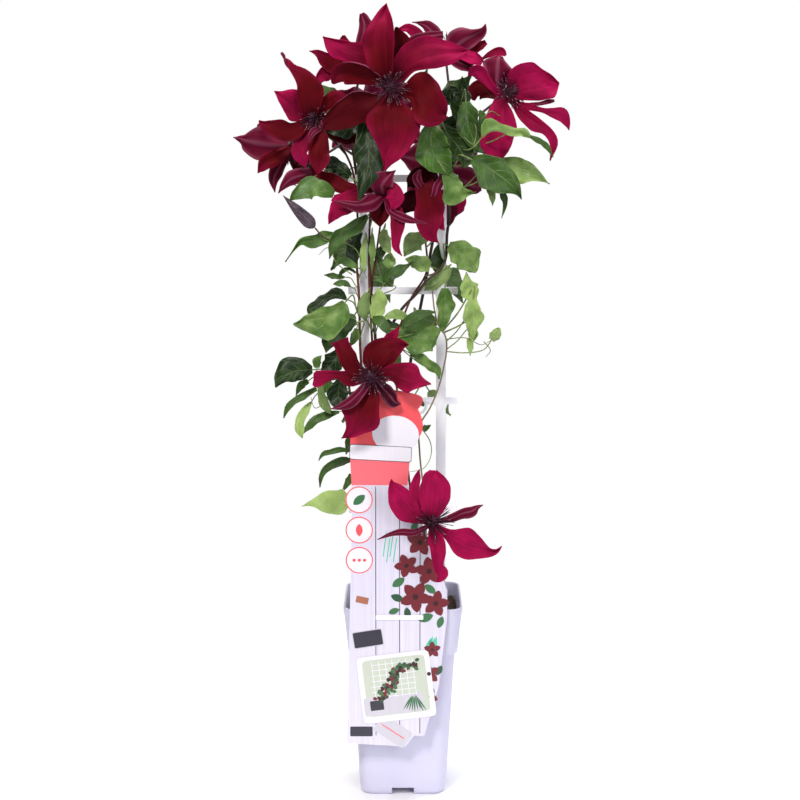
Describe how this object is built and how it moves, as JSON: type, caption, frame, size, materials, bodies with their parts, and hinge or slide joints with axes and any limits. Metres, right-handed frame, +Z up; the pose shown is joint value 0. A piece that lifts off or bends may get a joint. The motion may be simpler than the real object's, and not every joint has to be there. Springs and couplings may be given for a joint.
{
  "type": "potted climbing plant on a ladder trellis",
  "caption": "Tall square pot with a large-flowered crimson clematis tied to a narrow white ladder trellis, with a plain picture card hooked over the rim.",
  "frame": {"origin": "on the floor, on the upright axis of the square pot", "axes": "+Z up, -Y towards the viewer and the card, +X to the viewer's right"},
  "size_m": [0.2921, 0.1873, 0.6992],
  "materials": {
    "pot_plastic": "injection moulded, satin",
    "soil": "moist peat and bark",
    "ladder_plastic": "injection moulded, smooth",
    "card": "printed plastic card",
    "petal": "velvety",
    "stamen": "matte",
    "bud": "downy",
    "foliage": "waxy leaf"
  },
  "bodies": {
    "root": {"pot": "pot_plastic", "soil": "soil", "trellis_ladder": "ladder_plastic", "plant_label": "card", "bloom_a_tepals": "petal", "bloom_a_stamens": "stamen", "bloom_b_tepals": "petal", "bloom_b_stamens": "stamen", "bloom_c_tepals": "petal", "bloom_c_stamens": "stamen", "bloom_d_tepals": "petal", "bloom_d_stamens": "stamen", "bloom_e_tepals": "petal", "bloom_e_stamens": "stamen", "bloom_f_tepals": "petal", "bloom_f_stamens": "stamen", "bloom_k_tepals": "petal", "bloom_k_stamens": "stamen", "bloom_g_tepals": "petal", "bloom_g_stamens": "stamen", "bloom_h_tepals": "petal", "bloom_h_stamens": "stamen", "bloom_i_tepals": "petal", "bloom_i_stamens": "stamen", "bloom_j_tepals": "petal", "bloom_j_stamens": "stamen", "bloom_l_tepals": "petal", "bloom_l_stamens": "stamen", "bloom_m_tepals": "petal", "bloom_m_stamens": "stamen", "flower_bud": "bud", "leafy_stem_left": "foliage", "leafy_stem_middle": "foliage", "leafy_stem_centre": "foliage", "leafy_stem_right": "foliage", "leafy_stem_diagonal": "foliage", "leafy_stem_thin": "foliage", "leafy_stem_low_left": "foliage", "leafy_stem_low": "foliage", "leafy_stem_back_left": "foliage", "leafy_stem_back_right": "foliage"}
  },
  "joints": []
}
